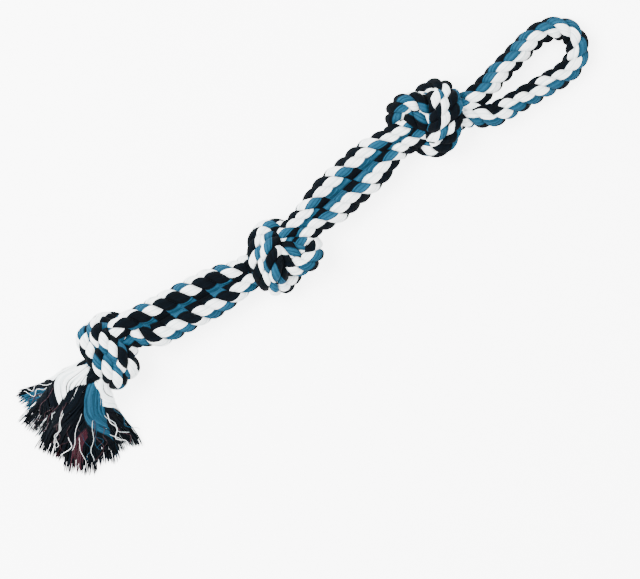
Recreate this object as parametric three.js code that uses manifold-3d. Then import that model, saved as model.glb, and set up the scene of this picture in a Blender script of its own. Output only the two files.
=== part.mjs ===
// Rope tug toy for a dog, built in millimetres with +Z up.
// One thick three-strand cotton rope is folded in half. The fold is the hand loop, both legs run side by
// side through three doubled overhand knots, and beyond the last knot the strands are unlaid into a tassel.
// +X runs from the tassel to the loop. The toy lies flat on the ground plane Z = 0.
import * as THREE from 'three';
import Module from 'manifold-3d';

// Rope: three strands laid right-handed, and the first strand's turn round the rope at the fold
const LAY_LENGTH = 40;
const LAY_AT_FOLD = 0.61;
const SPAN_RADIUS = 11.6;
const LOOP_RADIUS = 10.8;
const KNOT_RADIUS = 10;
const STRAND_SIDES = 5;
const STEP = 5.2;

// Clearances
const CUT_GAP = 0.5;
const STRAND_GAP = 0.9;
const SQUEEZE_GAP = 1;
const REST_CUT = 2.2;

// A loose doubled overhand knot, and how it is pulled tight
const LOOSE_SIZE = 10;
const LEAD_REACH = 90;
const LEAD_POINTS = 60;
const KNOT_POINTS = 110;
const KNOT_PITCH = 12;
const PULL_ROUNDS = 1300;
const SHRINK = 0.0012;
const STIFFNESS = 0.1;
const PULL_LIMIT = 1.45;
const BEND_LIMIT = 0.65;
const LOOSE_CUT = 0.75;
const LOOSE_RISE = 0.9;
const TOUCH_PUSH = 0.55;
const OWN_REACH = 1.3;

// Where the middle knot lies, how far the other two lie from it along the toy and aside, and how far a knot's
// legs are led out of it
const MIDDLE_AT = [-28.3, 3.1];
const KNOT_SPACING = 174;
const BOTTOM_FURTHER = 11.5;
const BOTTOM_ASIDE = 49;
const TOP_ASIDE = -14;
const LEAD = 40;
const TURNED_LEAD = 28;
const TASSEL_LEAD = 29;

// Bottom, middle and top knot: its place from the middle knot, its heading, its roll about the rope, its
// proportions, and the turns and lengths of its leads towards the tassel and towards the loop
const BOTTOM_KNOT = {
  at: [-KNOT_SPACING - BOTTOM_FURTHER, BOTTOM_ASIDE],
  heading: 29,
  roll: 215,
  size: [1.12, 1.4, 0.88],
  turned: [3, -34],
  lead: [TASSEL_LEAD, TURNED_LEAD],
};
const MIDDLE_KNOT = {
  at: [0, 0],
  heading: 0,
  roll: 176,
  size: [0.98, 1, 1],
  turned: [0, 0],
  lead: [LEAD, LEAD],
};
const TOP_KNOT = {
  at: [KNOT_SPACING, TOP_ASIDE],
  heading: -16,
  roll: 8,
  size: [1, 1.04, 1],
  turned: [0, 0],
  lead: [LEAD, LEAD],
};
const KNOTS = [BOTTOM_KNOT, MIDDLE_KNOT, TOP_KNOT];
const PAIR_SPACING = 21;
const SPAN_SAG = 4;
const LOWER_BOW = 10;
const SPAN_STATIONS = [0.22, 0.4, 0.6, 0.78];
const LOWER_BEND = 3.3;
const UPPER_BEND = 5.8;
const ROUTE_STEP = 2.5;
const CENTRE_STEP = CUT_GAP;
const ROUTE_SMOOTHING = 8;

// Hand loop, chosen point by point from the left leg round to the right leg: X and Y from the top knot, and the
// rise off the ground
const LOOP = [
  [56, -2, 10], [74, 0, 7.5], [94, 2, 5], [114, 4, 3], [131, 4, 1.5],
  [145, -2, 0.5], [152.5, -14, 0], [149.5, -26.5, 0], [139, -35.5, 0.5],
  [123, -38, 1.5], [104, -34.5, 3], [83, -31, 5], [64, -27.5, 7.5], [47, -24, 10],
];

// Tassel: tip of each unlaid strand from the bottom knot, from the left edge of the fan to the right, and the
// tuft that it forms
const TASSEL_TIPS = [[-81, -13], [-90, -37], [-89, -65], [-81, -91], [-58, -99], [-34, -103]];
const TIP_HEIGHT = 1.2;
const TUFT_ARCH = 2;
const TUFT_LEAVE = 0.3;
const TUFT_LAND = 0.35;
const TUFT_SIDES = 8;
const TUFT_RINGS = 9;
const TUFT_WIDTH = 10;
const TUFT_DEPTH = 6;
const TUFT_SHARE = 0.8;
const TUFT_THINNING = 0.5;
const YARN_ENDS = 5;
const YARN_RADIUS = 1.5;
const YARN_SPREAD = 8.5;
const YARN_SIDES = 4;
const YARN_RINGS = 4;
const YARN_FROM = 0.6;
const YARN_SHORTER = 0.07;
const YARN_TAPER = 0.55;

const COLOURS = { white: 0xf1f3f4, blue: 0x2676a5, black: 0x14181c };
const STRANDS = Object.keys(COLOURS);

const v3 = (x, y, z) => new THREE.Vector3(x, y, z);
const rad = THREE.MathUtils.degToRad;
const restHeight = (radius) => radius - STRAND_GAP / 2 - REST_CUT;
const lengthOf = (line) => line.slice(1).reduce((sum, p, i) => sum + p.distanceTo(line[i]), 0);

// Even spacing along a line of points, with the stretch number beside each point carried along
function resample(line, count, tags = line.map(() => 0)) {
  const reach = [0];
  line.slice(1).forEach((p, i) => reach.push(reach[i] + p.distanceTo(line[i])));
  const total = reach[line.length - 1];
  const out = [];
  const outTags = [];
  let k = 1;
  for (let i = 0; i < count; i += 1) {
    const at = (total * i) / (count - 1);
    while (k < line.length - 1 && reach[k] < at) k += 1;
    const f = THREE.MathUtils.clamp((at - reach[k - 1]) / Math.max(reach[k] - reach[k - 1], 1e-9), 0, 1);
    out.push(line[k - 1].clone().lerp(line[k], f));
    outTags.push(THREE.MathUtils.lerp(tags[k - 1], tags[k], f));
  }
  return [out, outTags];
}

function smooth(line, rounds) {
  let now = line;
  for (let r = 0; r < rounds; r += 1) {
    const was = now;
    now = was.map((p, i) => (i === 0 || i === was.length - 1
      ? p.clone()
      : p.clone().multiplyScalar(2).add(was[i - 1]).add(was[i + 1]).divideScalar(4)));
  }
  return now;
}

// Directions in which a knot's legs are led out towards the tassel and towards the loop, as the loose knot lies
function leadsOf({ turned, roll }) {
  const turn = (angle) => v3(Math.cos(rad(angle)), -Math.sin(rad(angle)), 0);
  const leads = [turn(turned[0]), turn(turned[1]).negate()];
  return leads.map((lead) => lead.applyAxisAngle(v3(1, 0, 0), -rad(roll)));
}

// A loose overhand knot: a trefoil cut open, with its two ends led out
function looseKnot([tasselward, loopward]) {
  const turns = 240;
  const body = Array.from({ length: turns }, (_, i) => {
    const t = Math.PI - LOOSE_CUT - ((2 * Math.PI - 2 * LOOSE_CUT) * i) / (turns - 1);
    return v3(
      Math.sin(t) + 2 * Math.sin(2 * t),
      Math.cos(t) - 2 * Math.cos(2 * t),
      -LOOSE_RISE * Math.sin(3 * t),
    ).multiplyScalar(LOOSE_SIZE);
  });
  const lead = (from, to) => Array.from({ length: LEAD_POINTS }, (_, i) => (
    from.clone().lerp(to, i / (LEAD_POINTS - 1))));
  const before = lead(loopward.clone().multiplyScalar(LEAD_REACH), body[0]).slice(0, -1);
  const after = lead(body[turns - 1], tasselward.clone().multiplyScalar(LEAD_REACH)).slice(1);
  const [even] = resample([...before, ...body, ...after], 400);
  return resample(smooth(even, 12), KNOT_POINTS)[0];
}

// Two ropes side by side along the knot, with their last points led out straight
function doubled(line) {
  const n = line.length;
  return [1, -1].map((side) => {
    const leg = line.map((p, i) => {
      const along = line[Math.min(i + 1, n - 1)].clone().sub(line[Math.max(i - 1, 0)]);
      return p.clone().addScaledVector(v3(-along.y, along.x, 0).normalize(), (side * KNOT_PITCH) / 2);
    });
    [[0, 1], [n - 1, n - 2]].forEach(([outer, inner]) => {
      leg[inner].copy(leg[outer]).addScaledVector(line[outer], -KNOT_PITCH / 2 / LEAD_REACH);
    });
    return leg;
  });
}

// Pull both ropes tight: shorten them, stiffen them a little, and keep them apart where they touch
function tighten(legs) {
  const n = legs[0].length;
  let P = legs.flat();
  const free = P.map((_, i) => i % n > 1 && i % n < n - 2);
  const rest = legs.map((leg) => lengthOf(leg) / (n - 1));
  const step = v3(0, 0, 0);
  for (let round = 0; round < PULL_ROUNDS; round += 1) {
    [0, 1].forEach((leg) => {
      const now = lengthOf(P.slice(leg * n, leg * n + n));
      if (now < PULL_LIMIT * rest[leg] * (n - 1)) rest[leg] *= 1 - SHRINK;
    });
    [0, 1, 0, 1].forEach((parity) => [0, 1].forEach((leg) => {
      for (let i = leg * n + parity; i < leg * n + n - 1; i += 2) {
        step.subVectors(P[i + 1], P[i]);
        const L = step.length();
        step.multiplyScalar((0.5 * (L - rest[leg])) / L);
        if (free[i]) P[i].add(step);
        if (free[i + 1]) P[i + 1].sub(step);
      }
    }));
    P = P.map((p, i) => (free[i]
      ? p.clone().multiplyScalar(1 - STIFFNESS)
        .addScaledVector(P[i - 1], STIFFNESS / 2).addScaledVector(P[i + 1], STIFFNESS / 2)
      : p));
    const skip = Math.ceil((OWN_REACH * KNOT_PITCH * 2) / (rest[0] + rest[1]));
    const push = P.map(() => v3(0, 0, 0));
    const touches = P.map(() => 0);
    for (let i = 0; i < 2 * n; i += 1) {
      for (let j = i + 1; j < 2 * n; j += 1) {
        const sameLeg = j < n || i >= n;
        if (sameLeg && j - i <= skip) continue;
        step.subVectors(P[i], P[j]);
        const L = step.length() + 1e-9;
        if (L >= KNOT_PITCH) continue;
        step.multiplyScalar((KNOT_PITCH - L) / L);
        push[i].add(step);
        push[j].sub(step);
        touches[i] += 1;
        touches[j] += 1;
      }
    }
    P.forEach((p, i) => {
      if (free[i]) p.addScaledVector(push[i], TOUCH_PUSH / Math.sqrt(Math.max(touches[i], 1)));
    });
  }
  return [P.slice(0, n), P.slice(n)];
}

const knotAt = ({ at }) => v3(MIDDLE_AT[0] + at[0], MIDDLE_AT[1] + at[1], 0);

// Both legs of a tight knot turned to its place, each running from the tassel to the loop, with its lowest wrap
// REST_CUT below the ground, left leg first
function placeKnot(knot) {
  const { heading, roll, size, lead } = knot;
  const place = new THREE.Matrix4().makeRotationZ(rad(heading))
    .multiply(new THREE.Matrix4().makeScale(...size))
    .multiply(new THREE.Matrix4().makeRotationX(rad(roll)))
    .multiply(new THREE.Matrix4().makeScale(-1, 1, 1));
  const [tasselward, loopward] = leadsOf(knot);
  const placed = tighten(doubled(looseKnot([tasselward, loopward]))).map((tight) => {
    const leg = smooth(tight, 2).reverse();
    const first = leg.findIndex((p) => p.dot(tasselward) < lead[0]);
    const last = leg.findLastIndex((p) => p.dot(loopward) < lead[1]);
    return leg.slice(first, last + 1).map((p) => p.applyMatrix4(place));
  });
  const low = Math.min(...placed.flat().map((p) => p.z));
  const shift = knotAt(knot).setZ(restHeight(KNOT_RADIUS) - low);
  placed.flat().forEach((p) => p.add(shift));
  const endY = (leg) => leg[leg.length - 1].y;
  return placed.sort((a, b) => endY(b) - endY(a));
}

// Points between two knots, where the legs draw apart to the pair spacing and bow to the right near the first
function spanPoints(from, to, side, bow) {
  const axis = to.clone().sub(from).setZ(0).normalize();
  const left = v3(-axis.y, axis.x, 0);
  return SPAN_STATIONS.map((f) => {
    const p = from.clone().lerp(to, f).addScaledVector(left, (side * PAIR_SPACING) / 2 - bow * (1 - f));
    return p.setZ(p.z - SPAN_SAG * Math.sin(Math.PI * f));
  });
}

// The rope's line from one tassel end round the loop to the other. The stretch number beside each point runs
// 1 to 2 in the bottom knot, 2 to 4 in the lower span, 4 to 5 in the middle knot, 5 to 7 in the upper span,
// 7 to 8 in the top knot, 8 to 12 in the loop, and back down the other leg to 19.
function wholeRope() {
  const knots = KNOTS.map(placeKnot);
  const bows = [LOWER_BOW, 0];
  const centre = (knot, end) => knot[0].at(end).clone().add(knot[1].at(end)).multiplyScalar(0.5);
  const tagged = (line, from, to) => line.map((p, i) => [p, from + ((to - from) * (i + 0.5)) / line.length]);
  const [left, right] = [1, -1].map((side, leg) => knots.flatMap((knot, k) => [
    ...tagged(knot[leg], 3 * k + 1, 3 * k + 2),
    ...(k < 2
      ? tagged(spanPoints(centre(knot, -1), centre(knots[k + 1], 0), side, bows[k]), 3 * k + 2, 3 * k + 4)
      : []),
  ]));
  const loop = LOOP.map(([x, y, rise]) => v3(x, y, restHeight(LOOP_RADIUS) + rise).add(knotAt(TOP_KNOT)));
  const all = [
    ...left,
    ...tagged(loop.slice(0, 1), 8, 9),
    ...tagged(loop.slice(1, -1), 9, 11),
    ...tagged(loop.slice(-1), 11, 12),
    ...right.reverse().map(([p, tag]) => [p, 20 - tag]),
  ];
  const curve = new THREE.CatmullRomCurve3(all.map(([p]) => p), false, 'centripetal');
  const parts = 6;
  const fine = Array.from({ length: (all.length - 1) * parts + 1 }, (_, i) => i / parts);
  const points = fine.map((f) => curve.getPoint(f / (all.length - 1)));
  const tags = fine.map((f) => {
    const k = Math.min(Math.floor(f), all.length - 2);
    return THREE.MathUtils.lerp(all[k][1], all[k + 1][1], f - k);
  });
  const [even, evenTags] = resample(points, Math.round(lengthOf(points) / ROUTE_STEP) + 1, tags);
  const route = smooth(even, ROUTE_SMOOTHING);
  return resample(route, Math.round(lengthOf(route) / CENTRE_STEP) + 1, evenTags);
}

const [line, tags] = wholeRope();
const FOLD = tags.findIndex((tag) => tag >= 10);

// Tangent, bend, and a side vector carried both ways from the fold without twisting, at each point of the rope
function framesAlong() {
  const at = (i) => line[THREE.MathUtils.clamp(i, 0, line.length - 1)];
  const span = Math.round(ROUTE_STEP / CENTRE_STEP);
  const tangents = line.map((_, i) => at(i + span).clone().sub(at(i - span)).normalize());
  const bends = line.map((_, i) => {
    const a = tangents[Math.max(i - span, 0)];
    const b = tangents[Math.min(i + span, line.length - 1)];
    return b.clone().sub(a).divideScalar(2 * span * CENTRE_STEP);
  });
  const sides = line.map(() => v3(0, 0, 1).cross(tangents[FOLD]).normalize());
  const carry = (from, to) => {
    const turn = new THREE.Quaternion().setFromUnitVectors(tangents[from], tangents[to]);
    const side = sides[from].clone().applyQuaternion(turn);
    sides[to] = side.addScaledVector(tangents[to], -side.dot(tangents[to])).normalize();
  };
  for (let i = FOLD; i < line.length - 1; i += 1) carry(i, i + 1);
  for (let i = FOLD; i > 0; i -= 1) carry(i, i - 1);
  return { tangents, bends, sides };
}

const { tangents, bends, sides } = framesAlong();

// Rope radius at a stretch number: thinner in the loop, squeezed in the knots
function radiusAt(tag) {
  const t = tag > 10 ? 20 - tag : tag;
  const ease = (a, b) => THREE.MathUtils.smoothstep(t, a, b);
  const knot = Math.max(...[1, 4, 7].map((k) => ease(k - 0.45, k + 0.05) * (1 - ease(k + 0.95, k + 1.45))));
  const plain = THREE.MathUtils.lerp(SPAN_RADIUS, LOOP_RADIUS, ease(7.5, 8.5));
  return THREE.MathUtils.lerp(plain, KNOT_RADIUS, knot);
}

// Press a surface point back behind the planes that its neighbours push up. A plane stands half way to a
// neighbour that gives as much, or where a firm neighbour's surface ends.
function press(point, centre, neighbours, firmRadius = 0) {
  const n = v3(0, 0, 0);
  [0, 1].forEach(() => neighbours.forEach((other) => {
    n.subVectors(other, centre);
    const apart = n.length();
    n.divideScalar(apart);
    const room = Math.min(apart / 2, Math.max(apart - firmRadius, apart / 4)) - SQUEEZE_GAP / 2;
    const over = n.dot(point) - n.dot(centre) - room;
    if (over > 0) point.addScaledVector(n, -over);
  }));
  return point;
}

// Other stretches of the rope that press on it at point i
const SPARSE = line.map((_, i) => i).filter((i) => i % Math.round(ROUTE_STEP / CENTRE_STEP) === 0);
function touching(i) {
  const apart = (3 * KNOT_RADIUS) / CENTRE_STEP;
  const reach = 2 * SPAN_RADIUS + SQUEEZE_GAP;
  const pressing = SPARSE.filter((j) => Math.abs(i - j) > apart && line[j].distanceTo(line[i]) < reach);
  return pressing.map((j) => line[j]);
}

// Middle of a strand at point i, in a strand circle that packs three to the rope
const PACKED = Math.sqrt(3) / (2 + Math.sqrt(3));
function strandCentre(i, strand) {
  const laid = ((i - FOLD) * CENTRE_STEP) / LAY_LENGTH + LAY_AT_FOLD;
  const turn = 2 * Math.PI * (laid + strand / STRANDS.length);
  return across(i, (1 - PACKED) * radiusAt(tags[i]), turn).add(line[i]);
}

function across(i, r, angle) {
  const up = tangents[i].clone().cross(sides[i]);
  return sides[i].clone().multiplyScalar(r * Math.cos(angle)).addScaledVector(up, r * Math.sin(angle));
}

// One ring of one strand, pressed by the rope's own bend and by its neighbours
function strandRing(i, strand, neighbours) {
  const centre = strandCentre(i, strand);
  const r = PACKED * radiusAt(tags[i]) - STRAND_GAP / 2;
  const kink = Math.max(bends[i].length(), 1e-6);
  const inward = bends[i].clone().divideScalar(kink);
  return Array.from({ length: STRAND_SIDES }, (_, k) => {
    const point = centre.clone().add(across(i, r, (2 * Math.PI * k) / STRAND_SIDES));
    const over = point.clone().sub(line[i]).dot(inward) - BEND_LIMIT / kink;
    if (over > 0) point.addScaledVector(inward, -over);
    return press(point, line[i], neighbours);
  });
}

// A closed skin over a row of rings, capped at both ends
function skin(rings) {
  const n = rings[0].length;
  const faces = [];
  rings.slice(1).forEach((_, r) => {
    for (let k = 0; k < n; k += 1) {
      const a = r * n + k;
      const b = r * n + ((k + 1) % n);
      faces.push(a, b, b + n, a, b + n, a + n);
    }
  });
  const end = (rings.length - 1) * n;
  for (let k = 1; k < n - 1; k += 1) faces.push(0, k + 1, k, end, end + k, end + k + 1);
  const geometry = new THREE.BufferGeometry();
  const places = rings.flat().flatMap((p) => [p.x, p.y, p.z]);
  geometry.setAttribute('position', new THREE.Float32BufferAttribute(places, 3));
  geometry.setIndex(faces);
  return geometry;
}

const wasm = await Module();
wasm.setup();

function solid(geometry) {
  return new wasm.Manifold(new wasm.Mesh({
    numProp: 3,
    vertProperties: geometry.attributes.position.array,
    triVerts: new Uint32Array(geometry.index.array),
  }));
}

function fromSolid(body) {
  const mesh = body.getMesh();
  const geometry = new THREE.BufferGeometry();
  geometry.setAttribute('position', new THREE.BufferAttribute(new Float32Array(mesh.vertProperties), 3));
  geometry.setIndex(new THREE.BufferAttribute(new Uint32Array(mesh.triVerts), 1));
  return geometry;
}

const cotton = Object.fromEntries(Object.entries(COLOURS).map(([name, color]) => [
  name,
  new THREE.MeshStandardMaterial({ name: `${name}_cotton`, color, roughness: 0.95, metalness: 0 }),
]));

// A named piece, cut flat where it rests on the ground
function piece(name, colour, body) {
  const geometry = fromSolid(body.trimByPlane([0, 0, 1], 0));
  geometry.computeVertexNormals();
  const mesh = new THREE.Mesh(geometry, cotton[colour]);
  mesh.name = name;
  return mesh;
}

// Bring an end ring back to the plane across the rope at point i
function squareEnd(ring, i) {
  ring.forEach((p) => p.addScaledVector(tangents[i], tangents[i].dot(line[i]) - tangents[i].dot(p)));
}

// The three strands between two stretch numbers, one CENTRE_STEP short of the next stretch
function stretch(name, from, to) {
  const group = new THREE.Group();
  const first = tags.findIndex((t) => t >= from);
  const last = tags.findLastIndex((t) => t < to);
  const steps = Math.round(((last - first) * CENTRE_STEP) / STEP);
  const at = Array.from({ length: steps + 1 }, (_, k) => Math.round(first + ((last - first) * k) / steps));
  const near = at.map(touching);
  STRANDS.forEach((colour, strand) => {
    const rings = at.map((i, k) => strandRing(i, strand, near[k]));
    squareEnd(rings[0], first);
    squareEnd(rings[steps], last);
    group.add(piece(`${name}_${colour}`, colour, solid(skin(rings))));
  });
  return group;
}

// Line of each unlaid strand, from where it leaves the bottom knot down to its tip on the ground
function tuftLines() {
  const ends = [0, line.length - 1].flatMap((i) => STRANDS.map((colour, strand) => {
    const out = tangents[i].clone().multiplyScalar(i === 0 ? -1 : 1);
    return { colour, leg: i === 0 ? 'left' : 'right', end: i, from: strandCentre(i, strand), out };
  }));
  ends.sort((a, b) => b.from.y - a.from.y);
  return ends.map((end, k) => {
    const tip = v3(...TASSEL_TIPS[k], TIP_HEIGHT).add(knotAt(BOTTOM_KNOT));
    const reach = end.from.distanceTo(tip);
    const path = new THREE.CubicBezierCurve3(
      end.from.clone().addScaledVector(end.out, CUT_GAP),
      end.from.clone().addScaledVector(end.out, reach * TUFT_LEAVE),
      tip.clone().lerp(end.from, TUFT_LAND).setZ(TIP_HEIGHT + TUFT_ARCH),
      tip,
    );
    return { ...end, path };
  });
}

// A ring lying flat across a path, with a width and a depth, shifted to its left
function flatRing(path, f, count, width, depth, shift) {
  const t = path.getTangent(f);
  const left = v3(-t.y, t.x, 0).normalize();
  const up = t.clone().cross(left);
  const centre = path.getPoint(f).addScaledVector(left, shift);
  return Array.from({ length: count }, (_, k) => {
    const a = (2 * Math.PI * k) / count;
    return centre.clone().addScaledVector(left, width * Math.cos(a)).addScaledVector(up, depth * Math.sin(a));
  });
}

// A tuft of unlaid yarn: a body pressed between its neighbours, with yarn ends fanning from it
function tuft(own, all) {
  const { lerp, smoothstep } = THREE.MathUtils;
  const stations = Array.from({ length: 25 }, (_, i) => i / 24);
  const others = all.filter((other) => other !== own);
  const tufts = others.flatMap((other) => stations.map((f) => other.path.getPoint(f)));
  const knot = SPARSE.filter((i) => tags[i] < 2 || tags[i] > 18).map((i) => line[i]);
  const strand = PACKED * KNOT_RADIUS - STRAND_GAP / 2;
  const body = Array.from({ length: TUFT_RINGS }, (_, r) => {
    const f = (TUFT_SHARE * r) / (TUFT_RINGS - 1);
    const grown = smoothstep(f, 0, 0.5);
    const width = lerp(strand, TUFT_WIDTH, grown);
    const depth = lerp(strand, TUFT_DEPTH, grown) * (1 - TUFT_THINNING * smoothstep(f, 0.5, 1));
    const centre = own.path.getPoint(f);
    const near = (points) => points.filter((p) => p.distanceTo(centre) < 3 * TUFT_WIDTH);
    const ring = flatRing(own.path, f, TUFT_SIDES, width, depth, 0);
    if (r === 0) ring.forEach((p) => press(p, line[own.end], touching(own.end)));
    else ring.forEach((p) => press(press(p, centre, near(tufts)), centre, near(knot), KNOT_RADIUS));
    return ring;
  });
  const yarns = Array.from({ length: YARN_ENDS }, (_, k) => {
    const spread = YARN_SPREAD * ((2 * k) / (YARN_ENDS - 1) - 1);
    const reach = 1 - YARN_SHORTER * ((k * 3) % 4);
    return Array.from({ length: YARN_RINGS }, (__, r) => {
      const f = lerp(YARN_FROM, reach, r / (YARN_RINGS - 1));
      const thick = YARN_RADIUS * (1 - YARN_TAPER * smoothstep(f, TUFT_SHARE, 1));
      return flatRing(own.path, f, YARN_SIDES, thick, thick, spread * f * f);
    });
  });
  const solids = [body, ...yarns].map((rings) => solid(skin(rings)));
  return solids.reduce((whole, one) => whole.add(one));
}

const toy = new THREE.Group();
toy.name = 'rope_tug_toy';
[
  ['bottom_knot', 1, 2], ['lower_span', 2, LOWER_BEND], ['lower_bend', LOWER_BEND, 4], ['middle_knot', 4, 5],
  ['upper_bend', 5, UPPER_BEND], ['upper_span', UPPER_BEND, 7], ['top_knot', 7, 8], ['loop_bend', 8, 9],
].forEach(([name, from, to]) => {
  toy.add(stretch(`${name}_left`, from, to));
  toy.add(stretch(`${name}_right`, 20 - to, 20 - from));
});
toy.add(stretch('loop', 9, 11));
const tufts = tuftLines();
tufts.forEach((own) => toy.add(piece(`tassel_${own.leg}_${own.colour}`, own.colour, tuft(own, tufts))));

export default toy;
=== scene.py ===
"""Rope tug toy for a dog, dressed over its CAD frame: laid cotton rope with its yarns, knots and a frayed
tassel."""

import math

import bpy
import numpy as np
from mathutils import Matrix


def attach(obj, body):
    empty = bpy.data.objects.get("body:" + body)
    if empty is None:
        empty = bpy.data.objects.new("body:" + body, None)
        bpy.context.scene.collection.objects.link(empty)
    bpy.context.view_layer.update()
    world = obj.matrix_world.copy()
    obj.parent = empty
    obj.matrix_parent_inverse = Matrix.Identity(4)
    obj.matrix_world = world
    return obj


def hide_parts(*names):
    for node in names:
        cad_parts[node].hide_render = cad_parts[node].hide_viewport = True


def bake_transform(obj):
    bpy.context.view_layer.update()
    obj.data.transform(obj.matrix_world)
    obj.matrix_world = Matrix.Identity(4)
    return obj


bl_info = {
    "name": "Rope tug toy",
    "version": (1, 0, 0),
    "blender": (4, 5, 0),
    "location": "View3D > Sidebar > Rope toy",
    "description": "Builds a knotted cotton rope toy with a hand loop and a frayed tassel",
    "category": "Object",
}

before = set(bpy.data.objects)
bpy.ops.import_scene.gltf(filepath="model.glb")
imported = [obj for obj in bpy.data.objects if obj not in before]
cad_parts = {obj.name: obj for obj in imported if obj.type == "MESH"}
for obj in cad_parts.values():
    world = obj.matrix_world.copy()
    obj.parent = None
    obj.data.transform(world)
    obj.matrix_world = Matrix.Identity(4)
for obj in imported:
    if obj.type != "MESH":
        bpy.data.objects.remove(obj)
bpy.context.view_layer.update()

MM = 0.001
TINY = 1e-9
COLOURS = ("white", "blue", "black")
LEGS = ("left", "right")

# The rope, with the same sizes in millimetres as the CAD source: one turn of its strands along it, their
# turn at the fold, its radius in each stretch, the gap between strands, and the cut where it rests on the
# ground
LAY_LENGTH = 40.0
LAY_AT_FOLD = 0.61
SPAN_RADIUS = 11.6
LOOP_RADIUS = 10.8
KNOT_RADIUS = 10.0
STRAND_GAP = 0.9
REST_CUT = 2.2

# The loose knot, and how its two ropes are pulled tight, as in the CAD source
LOOSE_SIZE = 10.0
LOOSE_CUT = 0.75
LOOSE_RISE = 0.9
LOOSE_POINTS = 240
LOOSE_EVEN_POINTS = 400
LOOSE_SMOOTHING = 12
LEAD_REACH = 90.0
LEAD_POINTS = 60
KNOT_POINTS = 110
KNOT_PITCH = 12.0
KNOT_SMOOTHING = 2
PULL_ROUNDS = 1300
PULL_LIMIT = 1.45
SHRINK = 0.0012
STIFFNESS = 0.1
TOUCH_PUSH = 0.55
OWN_REACH = 1.3

# Where the knots lie from the middle one, how they are turned in degrees, and how far their legs are led out
MIDDLE_AT = (-28.3, 3.1)
KNOT_SPACING = 174.0
BOTTOM_FURTHER = 11.5
BOTTOM_ASIDE = 49.0
TOP_ASIDE = -14.0
LEAD = 40.0
TURNED_LEAD = 28.0
TASSEL_LEAD = 29.0
BOTTOM_KNOT = {
    "at": (-KNOT_SPACING - BOTTOM_FURTHER, BOTTOM_ASIDE),
    "heading": 29,
    "roll": 215,
    "size": (1.12, 1.4, 0.88),
    "turned": (3, -34),
    "lead": (TASSEL_LEAD, TURNED_LEAD),
}
MIDDLE_KNOT = {
    "at": (0, 0),
    "heading": 0,
    "roll": 176,
    "size": (0.98, 1, 1),
    "turned": (0, 0),
    "lead": (LEAD, LEAD),
}
TOP_KNOT = {
    "at": (KNOT_SPACING, TOP_ASIDE),
    "heading": -16,
    "roll": 8,
    "size": (1, 1.04, 1),
    "turned": (0, 0),
    "lead": (LEAD, LEAD),
}
KNOTS = (BOTTOM_KNOT, MIDDLE_KNOT, TOP_KNOT)

# The spans between the knots, the loop from the top knot, and the spacing of points along the rope
PAIR_SPACING = 21.0
SPAN_SAG = 4.0
SPAN_BOWS = (10.0, 0.0)
SPAN_STATIONS = (0.22, 0.4, 0.6, 0.78)
LOOP = (
    (56, -2, 10), (74, 0, 7.5), (94, 2, 5), (114, 4, 3), (131, 4, 1.5),
    (145, -2, 0.5), (152.5, -14, 0), (149.5, -26.5, 0), (139, -35.5, 0.5),
    (123, -38, 1.5), (104, -34.5, 3), (83, -31, 5), (64, -27.5, 7.5), (47, -24, 10),
)
CURVE_PARTS = 6
ROUTE_STEP = 2.5
ROUTE_SMOOTHING = 8
CENTRE_STEP = 0.5

# Stretch numbers along the rope: where the knots start on the left leg, the loop's parts and its fold, the
# number that mirrors them to the right leg, and where the bending part of each span meets the rest
KNOT_TAGS = (1, 4, 7)
LOOP_TAGS = (8, 9, 11, 12)
FOLD_TAG = 10
MIRROR_TAG = 20
KNOT_STARTS = KNOT_TAGS + tuple(MIRROR_TAG - tag - 1 for tag in reversed(KNOT_TAGS))
LOWER_BEND = 3.3
UPPER_BEND = 5.8

# Where the rope is squeezed before and after a knot's start, and where it thins to the loop, all in stretch
# numbers
SQUEEZE_BEFORE = 0.45
SQUEEZE_AFTER = 0.95
SQUEEZE_EASE = 0.5
LOOP_THINS = 7.5

# Look of the strands: the whole turns that tying adds in each knot, how full a strand's crown is, how flat
# ropes press each other, how far a tight bend may crowd the rope, and where a change of colours is covered
KNOT_TURNS = 2
GROOVE_POWER = 2.6
RIDGE_POWER = 4
INNER_SHARE = 0.93
SQUEEZE_GAP = -0.6
PRESS_ROUNDS = 2
FILL_FROM = 0.6
FILL_TO = 0.93
OWN_RADII = 3
BEND_LIMIT = 0.65
COVER_SEARCH = 0.3
COVER_SIDES = 24
STRAND_SEED = 31

# Share of the way round a strand where each colour's yarns end, and the middle of each colour
COLOUR_ENDS = (0.3, 0.57, 1.0)
COLOUR_MIDDLES = (0.15, 0.435, 0.785)

# Lengths of rope whose colours run one way round: the stretch number where each starts, the stretch number
# where the colours are counted from the top of the rope, the way round, and the colour on top of each strand
# at stretch numbers along it, which tying a knot shifts inside the knot
COLOUR_LENGTHS = (
    (1.0, 2.7, -1, ((1.7, (1, 1, -1)), (2, (2, 2, 0)), (4, (2, 2, 0)), (4.3, (3, 3, 1)))),
    (4.5, 6.2, 1, ((4.7, (2, 1, 1)), (5, (1, 0, 0)))),
    (7.5, 10.0, -1, (
        (7.7, (1.8, 1.9, 1)), (8, (0.8, 0.9, 0)), (12, (-0.8, 0.1, 0)), (12.3, (0.2, 1.1, 1)),
    )),
    (12.5, 13.8, 1, ((15, (1, 0, 0)), (15.3, (2, 1, 1)))),
    (15.5, 17.3, -1, ((15.7, (1, 3, 1)), (16, (0, 2, 0)), (18, (0, 2, 0)), (18.3, (-1, 1, -1)))),
)

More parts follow.
